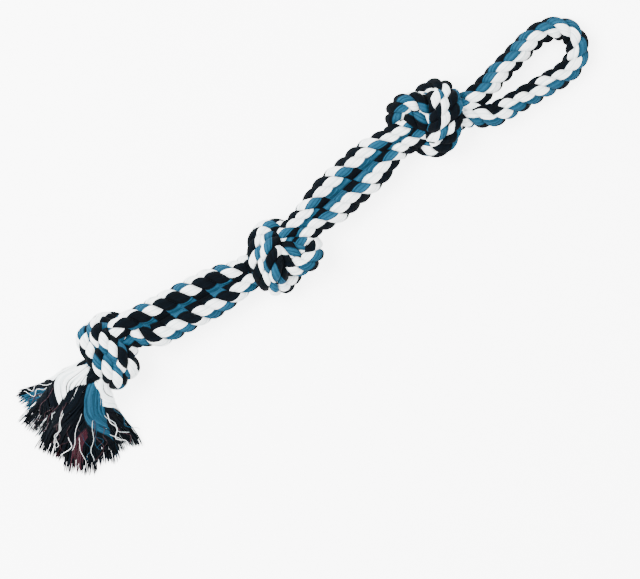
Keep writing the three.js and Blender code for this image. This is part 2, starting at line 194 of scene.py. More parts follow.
# Cotton's finish: for each colour its drift to dark and light and its sheen, then its gloss, the size of its
# fibres and plies across and along the yarn coordinates, and the height of its bumps in metres
FINISHES = {"white": (0.3, 0.05), "blue": (0.45, 0.02), "black": (0.5, 0.004), "maroon": (0.3, 0.2)}
WHITE, BLUE, BLACK, MAROON = range(len(FINISHES))
COTTON_ROUGHNESS = 0.92
COTTON_GLOSS = 0.06
SHEEN_ROUGHNESS = 0.45
FIBRE_SCALE = (66.0, 900.0, 1.0)
FIBRE_DETAIL = 4.0
PLY_SCALE = (66.0, 1400.0, 1.0)
PLY_SLANT = (0.0, 0.0, 0.6)
PLY_WIDTH = 0.5
PLY_WANDER = 2.5
PLY_DETAIL = 1.0
TONE_SHARE = 0.2
DRIFT_RANGE = (0.2, 0.8)
BUMP_STRENGTH = 0.5
BUMP_HEIGHT = 0.0003

# The tassel's tips from the bottom knot, and the lines of its tufts, in millimetres as in the CAD source
TASSEL_TIPS = ((-81, -13), (-90, -37), (-89, -65), (-81, -91), (-58, -99), (-34, -103))
TIP_HEIGHT = 1.2
TUFT_ARCH = 2.0
TUFT_LEAVE = 0.3
TUFT_LAND = 0.35

# Look of the tassel in millimetres and shares of the way from knot to tip. Each tuft, from left to right,
# has its share of the tuft width, its lift over its neighbours, the turns of its twist, where the twist
# starts and for how long, and the finish of its yarns up to each share of the way round, counted over the
# top from its left edge at the knot
TUFTS = (
    (0.7, -2.0, 0.4, 0.25, 0.45, (0.25, 0.5, 0.85, 1.0), (WHITE, BLACK, BLUE, BLACK)),
    (1.1, 2.0, -0.5, 0.2, 0.5, (0.5, 1.0), (WHITE, BLACK)),
    (0.85, 9.0, 0.2, 0.3, 0.45, (0.9, 1.0), (BLACK, MAROON)),
    (0.85, -4.0, 0.3, 0.3, 0.45, (0.45, 0.56, 1.0), (BLACK, MAROON, BLACK)),
    (0.7, 9.0, -0.5, 0.38, 0.45, (0.5, 1.0), (BLUE, BLACK)),
    (0.8, 0.0, -0.5, 0.1, 0.45, (0.5, 1.0), (WHITE, BLACK)),
)
TUFT_SEED = 500
TUFT_ROWS = 28
TUFT_ROOT = 5.4
TUFT_INSIDE = 9.0
TUFT_OPENS = 0.3
TUFT_FAN = 3.5
TUFT_WISPS = 8
LIFT_RISES = 0.2
LIFT_FALLS = 0.4
TIP_FROM = 0.5
TIP_FLATTENS = 0.5
TIP_THINS = 0.35
TIP_STRAYS = (4.0, 1.5)
WISP_GATHERS = 0.5
INNER_YARNS = (0.05, 0.8)
YARN_LENGTHS = (0.88, 1.03)
YARN_RADII = (0.85, 1.15)
YARN_SHIFT = 0.01
YARN_SWAY = 0.7
SWAY_WAVES = (1, 2.2)
YARN_SIDES = 5
# Painted shade: the share of a tuft's yarns made thin and black to stand for the shadowed gaps between
# yarns, and how much thinner they are
SHADOW_YARN_SHARE = 0.12
SHADOW_YARN_THIN = 0.6
GROUND_GAP = 0.05

# Loose threads over the tassel
THREAD_ROWS = 22
THREAD_SIDES = 4
THREAD_RADIUS = 0.22
THREAD_RADII = (0.7, 1.2)
THREAD_STARTS = (0.35, 0.65)
THREAD_LENGTHS = (0.25, 0.5)
THREAD_END = 1.04
THREAD_PLACES = (-0.8, 0.8)
THREAD_DRIFT = 5
THREAD_CLEAR = 1.5
CURL_WAVES = (0.8, 2.2)
CURL_WIDTHS = (2, 6)
THREAD_FINISHES = (WHITE, BLUE, MAROON)
THREAD_SHARES = (0.45, 0.25, 0.3)

# A loose yarn takes one part in so many of the yarn coordinates round it, and so many metres for each row
YARN_PARTS = 16
YARN_ROW_LENGTH = 0.004

# The stage in metres. The camera looks straight down through a long lens
FLOOR_HALF = 6.0
FLOOR_COLOUR = (0.92, 0.92, 0.92, 1)
FLOOR_GLOW = 4.0
FLOOR_ROUGHNESS = 0.9
FLOOR_GLOSS = 0.1
PLAIN_LIGHT = (1, 1, 1, 1)
SKY_STRENGTH = 1.5
SOFT_LIGHTS = (
    ("key_light", (-0.7, 0.9, 1.6), 1.4, 170),
    ("fill_light", (1.0, -0.8, 1.5), 1.6, 60),
)
VIEW_DISTANCE = 3.0
VIEW_WIDTH = 0.576
VIEW_CENTRE = (-0.0231, -0.0539)
VIEW_ROLL = 40.46
VIEW_SENSOR = 36
VIEW_END = 50


def unit(v):
    """Vectors of length one."""
    return v / np.maximum(np.linalg.norm(v, axis=-1, keepdims=True), TINY)


def reach_along(line):
    """Distance travelled along a line of points, from its start."""
    return np.concatenate([[0], np.cumsum(np.linalg.norm(np.diff(line, axis=0), axis=1))])


def length_of(line):
    """Length of a line of points."""
    return reach_along(line)[-1]


def resample(line, count, tags=None):
    """Even spacing along a line of points, with the stretch number beside each point carried along."""
    reach = reach_along(line)
    at = np.linspace(0, reach[-1], count)
    even = np.stack([np.interp(at, reach, line[:, k]) for k in range(3)], 1)
    return even if tags is None else (even, np.interp(at, reach, tags))


def smooth(line, rounds):
    """Each inner point moves to a quarter, half, quarter average with its neighbours."""
    now = line.copy()
    for _ in range(rounds):
        now[1:-1] = (2 * now[1:-1] + now[:-2] + now[2:]) / 4
    return now


def ease(f):
    """Smooth step from 0 to 1 as f goes from 0 to 1."""
    f = np.clip(f, 0, 1)
    return f * f * (3 - 2 * f)


def turn(angle, axis):
    """Rotation matrix by degrees about X (0) or Z (2)."""
    c, s = math.cos(math.radians(angle)), math.sin(math.radians(angle))
    if axis == 0:
        return np.array([[1, 0, 0], [0, c, -s], [0, s, c]])
    return np.array([[c, -s, 0], [s, c, 0], [0, 0, 1]])


def leads_of(knot):
    """Directions in which a knot's legs are led out towards the tassel and towards the loop, as the loose
    knot lies."""
    leads = []
    for angle, sign in zip(np.radians(knot["turned"]), (1, -1)):
        leads.append(turn(-knot["roll"], 0) @ (sign * np.array([math.cos(angle), -math.sin(angle), 0])))
    return leads


def loose_knot(tasselward, loopward):
    """A loose overhand knot: a trefoil cut open, with its two ends led out."""
    t = np.linspace(math.pi - LOOSE_CUT, -math.pi + LOOSE_CUT, LOOSE_POINTS)
    body = LOOSE_SIZE * np.stack([
        np.sin(t) + 2 * np.sin(2 * t),
        np.cos(t) - 2 * np.cos(2 * t),
        -LOOSE_RISE * np.sin(3 * t),
    ], 1)
    k = np.linspace(0, 1, LEAD_POINTS)[:, None]
    before = LEAD_REACH * loopward * (1 - k) + body[0] * k
    after = body[-1] * (1 - k) + LEAD_REACH * tasselward * k
    even = resample(np.concatenate([before[:-1], body, after[1:]]), LOOSE_EVEN_POINTS)
    return resample(smooth(even, LOOSE_SMOOTHING), KNOT_POINTS)


def doubled(line):
    """Two ropes side by side along the knot, with their last points led out straight."""
    i = np.arange(len(line))
    along = line[np.minimum(i + 1, len(line) - 1)] - line[np.maximum(i - 1, 0)]
    beside = unit(np.stack([-along[:, 1], along[:, 0], 0 * along[:, 0]], 1))
    legs = []
    for side in (1, -1):
        leg = line + side * KNOT_PITCH / 2 * beside
        for outer, inner in ((0, 1), (-1, -2)):
            leg[inner] = leg[outer] - line[outer] * KNOT_PITCH / 2 / LEAD_REACH
        legs.append(leg)
    return legs


def tighten(legs):
    """Pull both ropes tight: shorten them, stiffen them a little, and keep them apart where they touch."""
    n = len(legs[0])
    rope = np.concatenate(legs)
    place = np.tile(np.arange(n), 2)
    leg = np.repeat((0, 1), n)
    free = ((place > 1) & (place < n - 2)).astype(float)[:, None]
    rest = np.array([length_of(one) / (n - 1) for one in legs])
    inner = np.flatnonzero(free[:, 0])
    apart = np.where(leg[:, None] == leg[None, :], np.abs(place[:, None] - place[None, :]), 2 * n)
    links = [np.flatnonzero((place < n - 1) & (place % 2 == parity)) for parity in (0, 1)]
    for _ in range(PULL_ROUNDS):
        for k in (0, 1):
            if length_of(rope[k * n:k * n + n]) < PULL_LIMIT * rest[k] * (n - 1):
                rest[k] *= 1 - SHRINK
        for parity in (0, 1, 0, 1):
            a = links[parity]
            step = rope[a + 1] - rope[a]
            long = np.linalg.norm(step, axis=1)[:, None]
            step *= 0.5 * (long - rest[leg[a]][:, None]) / long
            rope[a] += step * free[a]
            rope[a + 1] -= step * free[a + 1]
        rope[inner] += STIFFNESS * ((rope[inner - 1] + rope[inner + 1]) / 2 - rope[inner])
        skip = math.ceil(OWN_REACH * KNOT_PITCH * 2 / rest.sum())
        away = rope[:, None] - rope[None, :]
        near = np.sqrt((away ** 2).sum(2)) + TINY
        touch = (near < KNOT_PITCH) & (apart > skip)
        push = np.where(touch, (KNOT_PITCH - near) / near, 0)
        move = (push[:, :, None] * away).sum(1)
        rope += TOUCH_PUSH * move / np.sqrt(np.maximum(touch.sum(1), 1))[:, None] * free
    return [rope[:n], rope[n:]]


def rest_height(radius):
    """Height of a rope's middle where it is cut flat on the ground."""
    return radius - STRAND_GAP / 2 - REST_CUT


def knot_at(knot):
    """A knot's place on the ground."""
    return np.array([MIDDLE_AT[0] + knot["at"][0], MIDDLE_AT[1] + knot["at"][1], 0])


def place_knot(knot):
    """Both legs of a tight knot turned to its place, each running from the tassel to the loop, with its
    lowest wrap cut by the ground, left leg first."""
    mirror = np.diag([-1.0, 1, 1])
    place = turn(knot["heading"], 2) @ np.diag(knot["size"]) @ turn(knot["roll"], 0) @ mirror
    tasselward, loopward = leads_of(knot)
    placed = []
    for tight in tighten(doubled(loose_knot(tasselward, loopward))):
        leg = smooth(tight, KNOT_SMOOTHING)[::-1]
        first = np.flatnonzero(leg @ tasselward < knot["lead"][0])[0]
        last = np.flatnonzero(leg @ loopward < knot["lead"][1])[-1]
        placed.append(leg[first:last + 1] @ place.T)
    low = min(line[:, 2].min() for line in placed)
    shift = knot_at(knot) + (0, 0, rest_height(KNOT_RADIUS) - low)
    return sorted((line + shift for line in placed), key=lambda line: -line[-1, 1])


def span_points(start, end, side, bow):
    """Points between two knots, where the legs draw apart to the pair spacing, sag a little, and bow to the
    right near the first knot."""
    axis = unit((end - start) * (1, 1, 0))
    left = np.array([-axis[1], axis[0], 0])
    f = np.array(SPAN_STATIONS)[:, None]
    points = start + (end - start) * f + left * (side * PAIR_SPACING / 2 - bow * (1 - f))
    points[:, 2] -= SPAN_SAG * np.sin(math.pi * f[:, 0])
    return points


def through(points, parts):
    """A centripetal Catmull-Rom curve through the points, with so many parts between each two."""
    ended = np.concatenate([[2 * points[0] - points[1]], points, [2 * points[-1] - points[-2]]])
    gap = np.linalg.norm(np.diff(ended, axis=0), axis=1) ** 0.5
    p0, p1, p2, p3 = (ended[k:len(ended) - 3 + k][:, None] for k in range(4))
    d0, d1, d2 = (gap[k:len(gap) - 2 + k][:, None, None] for k in range(3))
    m1 = ((p1 - p0) / d0 - (p2 - p0) / (d0 + d1) + (p2 - p1) / d1) * d1
    m2 = ((p2 - p1) / d1 - (p3 - p1) / (d1 + d2) + (p3 - p2) / d2) * d1
    f = (np.arange(parts) / parts)[None, :, None]
    curve = p1 + m1 * f + (3 * (p2 - p1) - 2 * m1 - m2) * f ** 2 + (2 * (p1 - p2) + m1 + m2) * f ** 3
    return np.concatenate([curve.reshape(-1, 3), points[-1:]])


def tagged(points, start, end):
    """Points with stretch numbers spread evenly from start to end."""
    return points, start + (end - start) * (np.arange(len(points)) + 0.5) / len(points)


def one_leg(knots, leg, side):
    """Tagged points of one leg from the tassel to the loop, through each knot and the span after it."""
    rows = []
    for k, knot in enumerate(knots):
        tag = KNOT_TAGS[k]
        rows.append(tagged(knot[leg], tag, tag + 1))
        if k < len(SPAN_BOWS):
            start = (knot[0][-1] + knot[1][-1]) / 2
            end = (knots[k + 1][0][0] + knots[k + 1][1][0]) / 2
            rows.append(tagged(span_points(start, end, side, SPAN_BOWS[k]), tag + 1, tag + 3))
    return rows


def whole_rope():
    """The rope's line from one tassel end round the loop to the other, with stretch numbers: 1 to 2 in the
    bottom knot, 2 to 4 in the lower span, 4 to 5 in the middle knot, 5 to 7 in the upper span, 7 to 8 in the
    top knot, 8 to 12 in the loop, and back down the other leg to 19."""
    knots = [place_knot(knot) for knot in KNOTS]
    loop = np.array(LOOP, float) + knot_at(TOP_KNOT) + (0, 0, rest_height(LOOP_RADIUS))
    rows = one_leg(knots, 0, 1)
    rows += [tagged(*part) for part in zip((loop[:1], loop[1:-1], loop[-1:]), LOOP_TAGS, LOOP_TAGS[1:])]
    rows += [(points[::-1], MIRROR_TAG - tags[::-1]) for points, tags in one_leg(knots, 1, -1)[::-1]]
    points = np.concatenate([row[0] for row in rows])
    tags = np.concatenate([row[1] for row in rows])
    fine = through(points, CURVE_PARTS)
    fine_tags = np.interp(np.arange(len(fine)) / CURVE_PARTS, np.arange(len(tags)), tags)
    even, even_tags = resample(fine, round(length_of(fine) / ROUTE_STEP) + 1, fine_tags)
    route = smooth(even, ROUTE_SMOOTHING)
    return resample(route, round(length_of(route) / CENTRE_STEP) + 1, even_tags)


LINE, TAGS = whole_rope()
FOLD = int(np.argmax(TAGS >= FOLD_TAG))


def frames_along(line):
    """Tangent, bend, and a side and an up vector carried both ways from the fold without twisting, at each
    point of the rope."""
    step = round(ROUTE_STEP / CENTRE_STEP)
    i = np.arange(len(line))
    ahead, behind = np.minimum(i + step, len(line) - 1), np.maximum(i - step, 0)
    tangent = unit(line[ahead] - line[behind])
    bend = (tangent[ahead] - tangent[behind]) / (2 * step * CENTRE_STEP)
    side = np.empty_like(line)
    side[FOLD] = unit(np.cross((0, 0, 1), tangent[FOLD]))
    onward = [(k - 1, k) for k in range(FOLD + 1, len(line))]
    for k, n in onward + [(k + 1, k) for k in range(FOLD - 1, -1, -1)]:
        was, now = tangent[k], tangent[n]
        axis = np.cross(was, now)
        carried = side[k] + np.cross(axis, side[k])
        carried += axis * (axis @ side[k]) / (1 + was @ now) - side[k] * (1 - was @ now)
        side[n] = unit(carried - now * (carried @ now))
    return tangent, bend, side, np.cross(tangent, side)


TANGENT, BEND, SIDE, UP = frames_along(LINE)
SPARSE = np.arange(0, len(LINE), round(ROUTE_STEP / CENTRE_STEP))


def at_tag(tag):
    """Number of the rope's point where a stretch begins."""
    return int(np.argmax(TAGS >= tag)) if tag < TAGS[-1] else len(LINE) - 1


def lay_at(i, strand):
    """Turn of a strand round the rope at point i, in radians. Pulling a knot tight lays the strands closer
    there, by whole turns in each knot."""
    tightened = sum(np.clip(TAGS[i] - start, 0, 1) for start in KNOT_STARTS)
    even = (i - FOLD) * CENTRE_STEP / LAY_LENGTH + LAY_AT_FOLD
    return 2 * math.pi * (even + KNOT_TURNS * tightened + strand / len(COLOURS))


def radius_at(tag):
    """Rope radius at a stretch number: thinner in the loop, squeezed in the knots."""
    t = np.where(tag > FOLD_TAG, MIRROR_TAG - tag, tag)
    near = []
    for k in KNOT_TAGS:
        squeezed = ease((t - k + SQUEEZE_BEFORE) / SQUEEZE_EASE)
        near.append(squeezed * (1 - ease((t - k - SQUEEZE_AFTER) / SQUEEZE_EASE)))
    plain = SPAN_RADIUS + (LOOP_RADIUS - SPAN_RADIUS) * ease(t - LOOP_THINS)
    return plain + (KNOT_RADIUS - plain) * np.max(near, axis=0)


def neighbours_of(rings):
    """Points of other stretches of the rope that press on each ring, in even rows, with a mask of the real
    ones."""
    apart = OWN_RADII * KNOT_RADIUS / CENTRE_STEP
    near = np.linalg.norm(LINE[rings][:, None] - LINE[SPARSE][None], axis=2) < 2 * SPAN_RADIUS
    near &= np.abs(rings[:, None] - SPARSE[None]) > apart
    count = max(int(near.sum(1).max()), 1)
    order = np.argsort(~near, axis=1, kind="stable")[:, :count]
    return LINE[SPARSE[order]], np.take_along_axis(near, order, axis=1)


def press(points, centre, others, real, gap):
    """Press surface points back behind the planes half way to each neighbour, more than once over."""
    for _ in range(PRESS_ROUNDS):
        for k in range(others.shape[1]):
            n = others[:, k] - centre
            apart = np.maximum(np.linalg.norm(n, axis=1), TINY)
            n = n / apart[:, None]
            over = np.einsum("rcx,rx->rc", points - centre[:, None], n) - (apart / 2 - gap / 2)[:, None]
            over = np.where(real[:, k][:, None], np.maximum(over, 0), 0)
            points = points - over[:, :, None] * n[:, None]
    return points


def pressed_share(outward, rings, others, real):
    """How far each place round the rope faces a neighbour that presses it, from 0 to 1. The cotton fills its
    grooves there."""
    toward = unit(others - LINE[rings][:, None])
    facing = np.where(real[:, None], np.einsum("rcx,rkx->rck", outward, toward), -1).max(2)
    return ease((facing - FILL_FROM) / (FILL_TO - FILL_FROM))


def crowd(points, rings):
    """Hold surface points inside a tight bend, at most a share of the bend's radius towards its middle."""
    kink = np.maximum(np.linalg.norm(BEND[rings], axis=1), TINY)
    turned = BEND[rings] / kink[:, None]
    over = np.einsum("rcx,rx->rc", points - LINE[rings][:, None], turned) - (BEND_LIMIT / kink)[:, None]
    return points - np.maximum(over, 0)[:, :, None] * turned[:, None]


def colour_on_top(rings, strand, stations):
    """Place round a strand, in turns, of the colour on top of it at each ring. It is read between the
    stations, whose whole numbers stand for the middles of white, blue and black and go on counting round."""
    colour = np.interp(TAGS[rings], [tag for tag, _ in stations], [tops[strand] for _, tops in stations])
    turns = np.arange(-1, 2)
    numbers = np.add.outer(turns * len(COLOURS), range(len(COLOURS))).ravel()
    return np.interp(colour, numbers, np.add.outer(turns, COLOUR_MIDDLES).ravel())


def strand_surface(rings, strand, sizes, length):
    """One strand as a grid of rings by yarn columns. A column keeps its place round the rope, so that yarns
    run along the rope while the strand winds under them. On the crown of the strand the radius falls from
    the rope's radius to the groove, and between the grooves the column runs in to the middle and out
    again."""
    level, order, stations = length[1:]
    cycles = sizes.colour_cycles
    columns = 2 * sizes.yarns
    lay = lay_at(rings, strand)
    top = colour_on_top(rings, strand, stations) + sizes.phase
    i = at_tag(level)
    upward = math.atan2(UP[i, 2], SIDE[i, 2])
    t = order * 2 * math.pi * (np.arange(columns) / columns - top[:, None])
    t = t - cycles * (lay - upward)[:, None]
    t = (t + math.pi) % (2 * math.pi) - math.pi
    sector = math.pi / len(COLOURS)
    crown = np.clip(t / cycles, -sector, sector)
    inward = np.clip((np.abs(t) - cycles * sector) / (math.pi - cycles * sector), 0, 1)
    angle = (lay[:, None] + crown)[:, :, None]
    outward = np.cos(angle) * SIDE[rings][:, None] + np.sin(angle) * UP[rings][:, None]
    others, real = neighbours_of(rings)
    off_crown = np.abs(crown / sector)
    ridge = sizes.yarn_relief * (np.arange(columns) % 2 - 0.5)[None] * (1 - off_crown ** RIDGE_POWER)
    groove = sizes.groove * (1 - pressed_share(outward, rings, others, real))
    fall = 1 - groove * off_crown ** GROOVE_POWER
    r = (radius_at(TAGS[rings])[:, None] * fall + ridge) * (1 - INNER_SHARE * inward)
    points = crowd(LINE[rings][:, None] + r[:, :, None] * outward, rings)
    points = press(points, LINE[rings], others, real, SQUEEZE_GAP)
    points[:, :, 2] = np.maximum(points[:, :, 2], 0)
    return points


def most_covered(tag):
    """Number of the rope's point near a stretch number where its neighbours press it thinnest."""
    rings = np.flatnonzero(np.abs(TAGS - tag) < COVER_SEARCH)
    a = np.linspace(0, 2 * math.pi, COVER_SIDES, endpoint=False)[None, :, None]
    girth = np.cos(a) * SIDE[rings][:, None] + np.sin(a) * UP[rings][:, None]
    pressed = press(LINE[rings][:, None] + KNOT_RADIUS * girth, LINE[rings], *neighbours_of(rings), 0)
    return int(rings[np.argmin(np.linalg.norm(pressed - LINE[rings][:, None], axis=2).mean(1))])


COLOUR_CUTS = (0, *(most_covered(length[0]) for length in COLOUR_LENGTHS[1:]), len(LINE) - 1)


def split_at(rings):
    """Rings split where the colours turn over inside the middle and top knots, each part with its colour
    length."""
    parts = []
    for length, start, end in zip(COLOUR_LENGTHS, COLOUR_CUTS, COLOUR_CUTS[1:]):
        start, end = max(start, rings[0]), min(end, rings[-1])
        if start < end:
            between = rings[(rings > start) & (rings < end)]
            parts.append((length, np.concatenate([[start], between, [end]])))
    return parts


def grid_faces(rows, columns, flip):
    """Quads of a tube of rows by columns that closes round, as vertex numbers."""
    a = np.arange(rows - 1)[:, None] * columns + np.arange(columns)[None]
    b = np.arange(rows - 1)[:, None] * columns + (np.arange(columns)[None] + 1) % columns
    quads = np.stack([a, b, b + columns, a + columns], 2).reshape(-1, 4)
    return quads[:, ::-1] if flip else quads


class Skin:
    """Gathers tubes into one mesh: points, faces, yarn coordinates, finishes and a tone for each face."""

    def __init__(self):
        self.points, self.corners, self.sizes = [], [], []
        self.coords, self.finish, self.tone = [], [], []
        self.count = 0

    def add(self, points, faces, coords, finish, tone):
        """Put in points and the faces between them, with what each face carries."""
        self.points.append(points.reshape(-1, 3))
        self.corners.append(faces.ravel() + self.count)
        self.sizes.append(np.full(len(faces), faces.shape[1]))
        self.coords.append(coords.reshape(-1, 2))
        self.finish.append(np.broadcast_to(finish, len(faces)))
        self.tone.append(np.broadcast_to(tone, len(faces)))
        self.count += points.size // 3

    def tube(self, points, along, finish, tone, flip):
        """A closed tube: its wall, with u round it and v along it, and a fan at each end."""
        rows, columns = points.shape[:2]
        faces = grid_faces(rows, columns, flip)
        j = np.tile(np.arange(columns), rows - 1)
        i = np.repeat(np.arange(rows - 1), columns)
        u = np.stack([j, j + 1, j + 1, j], 1) / columns
        v = np.stack([along[i], along[i], along[i + 1], along[i + 1]], 1)
        coords = np.stack([u, v], 2)
        if flip:
            coords = coords[:, ::-1]
        self.add(points, faces, coords, np.tile(finish, rows - 1), np.tile(tone, rows - 1))
        for row, forward in ((0, flip), (rows - 1, not flip)):
            ring = points[row]
            around = np.arange(columns)
            fan = np.stack([around, (around + 1) % columns, np.full(columns, columns)], 1)
            if not forward:
                fan = fan[:, ::-1]
            flat = np.full((columns, 3, 2), (0.5, along[row]))
            self.add(np.concatenate([ring, ring.mean(0)[None]]), fan, flat, finish, tone)

    def piece(self, name, materials):
        """The gathered mesh as an object, in metres, smooth, with its finishes."""
        points = np.concatenate(self.points) * MM
        corners = np.concatenate(self.corners)
        sizes = np.concatenate(self.sizes)
        starts = np.concatenate([[0], np.cumsum(sizes)[:-1]])
        mesh = bpy.data.meshes.new(name)
        mesh.vertices.add(len(points))
        mesh.vertices.foreach_set("co", points.astype(np.float32).ravel())
        mesh.loops.add(len(corners))
        mesh.loops.foreach_set("vertex_index", corners.astype(np.int32))
        mesh.polygons.add(len(sizes))
        mesh.polygons.foreach_set("loop_start", starts.astype(np.int32))
        for material in materials:
            mesh.materials.append(material)
        mesh.polygons.foreach_set("material_index", np.concatenate(self.finish).astype(np.int32))
        mesh.polygons.foreach_set("use_smooth", np.ones(len(sizes), bool))
        coords = np.concatenate(self.coords).astype(np.float32)
        mesh.uv_layers.new(name="yarn").data.foreach_set("uv", coords.ravel())
        tone = mesh.attributes.new("yarn_tone", "FLOAT", "FACE")
        tone.data.foreach_set("value", np.concatenate(self.tone).astype(np.float32))
        mesh.update(calc_edges=True)
        mesh.validate()
        obj = bpy.data.objects.new(name, mesh)
        bpy.context.scene.collection.objects.link(obj)
        return obj


def rope_skin(first, last, sizes):
    """The three strands between two points of the rope, with their yarns coloured in groups."""
    skin = Skin()
    groups = np.repeat(np.searchsorted(COLOUR_ENDS, (np.arange(sizes.yarns) + 0.5) / sizes.yarns), 2)
    for length, part in split_at(np.arange(first, last + 1)):
        for strand in range(len(COLOURS)):
            tones = np.random.default_rng(STRAND_SEED + strand).normal(0, 1, sizes.yarns)
            surface = strand_surface(part, strand, sizes, length)
            skin.tube(surface, part * CENTRE_STEP * MM, groups, np.repeat(tones, 2), length[2] < 0)
    return skin


def set_inputs(node, values):
    """Put plain values on a shader node's inputs by name."""
    for name, value in values.items():
        node.inputs[name].default_value = value


def new_node(nodes, kind, values):
    """A new shader node with plain values on its inputs."""
    node = nodes.new(kind)
    set_inputs(node, values)
    return node


def shade(colour, factor):
    """A colour made darker or lighter by a factor, no brighter than white."""
    return (*(min(c * factor, 1.0) for c in colour[:3]), 1.0)


def cotton(name, colour, lift, sheen):
    """Spun cotton: colour drifting along and between yarns, fine plies turning round each yarn, a soft
    sheen. The drift is fibre noise plus a share of the yarn's tone, and the bump is fibre noise plus ply
    waves."""
    material = bpy.data.materials.new(name)
    material.use_nodes = True
    material.diffuse_color = colour
    nodes, links = material.node_tree.nodes, material.node_tree.links
    shader = nodes["Principled BSDF"]
    set_inputs(shader, {
        "Roughness": COTTON_ROUGHNESS,
        "Specular IOR Level": COTTON_GLOSS,
        "Sheen Weight": sheen,
        "Sheen Roughness": SHEEN_ROUGHNESS,
        "Sheen Tint": (*((1 + c) / 2 for c in colour[:3]), 1.0),
    })
    uv = nodes.new("ShaderNodeUVMap")
    uv.uv_map = "yarn"
    stretch = new_node(nodes, "ShaderNodeMapping", {"Scale": FIBRE_SCALE})
    links.new(uv.outputs["UV"], stretch.inputs["Vector"])
    fibre = new_node(nodes, "ShaderNodeTexNoise", {"Scale": 1.0, "Detail": FIBRE_DETAIL})
    links.new(stretch.outputs["Vector"], fibre.inputs["Vector"])
    slant = new_node(nodes, "ShaderNodeMapping", {"Rotation": PLY_SLANT, "Scale": PLY_SCALE})
    links.new(uv.outputs["UV"], slant.inputs["Vector"])
    ply = new_node(nodes, "ShaderNodeTexWave", {
        "Scale": PLY_WIDTH, "Distortion": PLY_WANDER, "Detail": PLY_DETAIL,
    })
    links.new(slant.outputs["Vector"], ply.inputs["Vector"])
    tone = nodes.new("ShaderNodeAttribute")
    tone.attribute_name = "yarn_tone"
    drift = nodes.new("ShaderNodeMath")
    drift.operation = "MULTIPLY_ADD"
    drift.inputs[1].default_value = TONE_SHARE
    links.new(tone.outputs["Fac"], drift.inputs[0])
    links.new(fibre.outputs["Fac"], drift.inputs[2])
    ramp = nodes.new("ShaderNodeValToRGB")
    dark, light = ramp.color_ramp.elements
    dark.position, light.position = DRIFT_RANGE
    dark.color = shade(colour, 1 - lift)
    light.color = shade(colour, 1 + lift)
    links.new(drift.outputs["Value"], ramp.inputs["Fac"])
    links.new(ramp.outputs["Color"], shader.inputs["Base Color"])
    height = nodes.new("ShaderNodeMath")
    height.operation = "ADD"
    links.new(fibre.outputs["Fac"], height.inputs[0])
    links.new(ply.outputs["Fac"], height.inputs[1])
    bump = new_node(nodes, "ShaderNodeBump", {"Strength": BUMP_STRENGTH, "Distance": BUMP_HEIGHT})
    links.new(height.outputs["Value"], bump.inputs["Height"])
    links.new(bump.outputs["Normal"], shader.inputs["Normal"])
    return material


def yarn_finishes(colours, sizes):
    """Cotton in each colour, made once and shared by all pieces."""
    made = []
    for colour in colours:
        name = f"{colour}_yarn"
        finish = bpy.data.materials.get(name)
        made.append(finish or cotton(name, tuple(getattr(sizes, colour)), *FINISHES[colour]))
    return made


def stretch_ends(start, end, leg):
    """First and last point of a stretch on the left (0) or right (1) leg."""
    if leg == 0:
        return at_tag(start), at_tag(end)
    return at_tag(MIRROR_TAG - end), at_tag(MIRROR_TAG - start)


def rope_piece(name, start, end, leg, sizes):
    """One leg of one stretch, standing for its three CAD strands."""
    first, last = stretch_ends(start, end, leg)
    stem = f"{name}_{LEGS[leg]}"
    obj = rope_skin(first, last, sizes).piece(f"{stem}_rope", yarn_finishes(COLOURS, sizes))
    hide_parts(*(f"{stem}_{colour}" for colour in COLOURS))
    return obj


def tuft_lines():
    """Control points of each unlaid strand, from where it leaves the bottom knot down to its tip on the
    ground, from left to right. Three packed strands leave each rope end, round its middle."""
    packed = math.sqrt(3) / (2 + math.sqrt(3))
    ends = []
    for leg, i in enumerate((0, len(LINE) - 1)):
        out = TANGENT[i] * (1 if leg else -1)
        for strand, colour in enumerate(COLOURS):
            lay = lay_at(i, strand)
            away = (1 - packed) * radius_at(TAGS[i]) * (math.cos(lay) * SIDE[i] + math.sin(lay) * UP[i])
            ends.append((f"tassel_{LEGS[leg]}_{colour}", LINE[i] + away, out))
    ends.sort(key=lambda end: -end[1][1])
    lines = []
    for (name, start, out), tip in zip(ends, TASSEL_TIPS):
        tip = knot_at(BOTTOM_KNOT) + (*tip, TIP_HEIGHT)
        reach = np.linalg.norm(start - tip)
        land = tip + (start - tip) * TUFT_LAND
        land[2] = TIP_HEIGHT + TUFT_ARCH
        control = [start - out * TUFT_INSIDE, start + out * reach * TUFT_LEAVE, land, tip]
        lines.append((name, np.array(control)))
    return lines


def tuft_frame(control, f):
    """Points on a tuft's cubic Bezier curve, also a little way past its end, with directions to its left and
    up."""
    a, b, c, d = control
    f = f[..., None]
    g = 1 - f
    point = a * g ** 3 + 3 * b * g * g * f + 3 * c * g * f * f + d * f ** 3
    along = unit((b - a) * g * g + 2 * (c - b) * g * f + (d - c) * f * f)
    left = unit(np.cross((0, 0, 1), along))
    return point, left, np.cross(along, left)


def raised(f):
    """Share of a tuft's lift along it, up from the knot and down again to the tip."""
    return ease(f / LIFT_RISES) * (1 - ease((f - LIFT_FALLS) / (1 - LIFT_FALLS)))


def tip_share(f):
    """How far along the loose end of a tuft a place is, from 0 to 1 at the tip."""
    return ease((f - TIP_FROM) / (1 - TIP_FROM))


def spread(rng, bounds, count):
    """One random number for each yarn between two bounds."""
    return rng.uniform(*bounds, (count, 1))


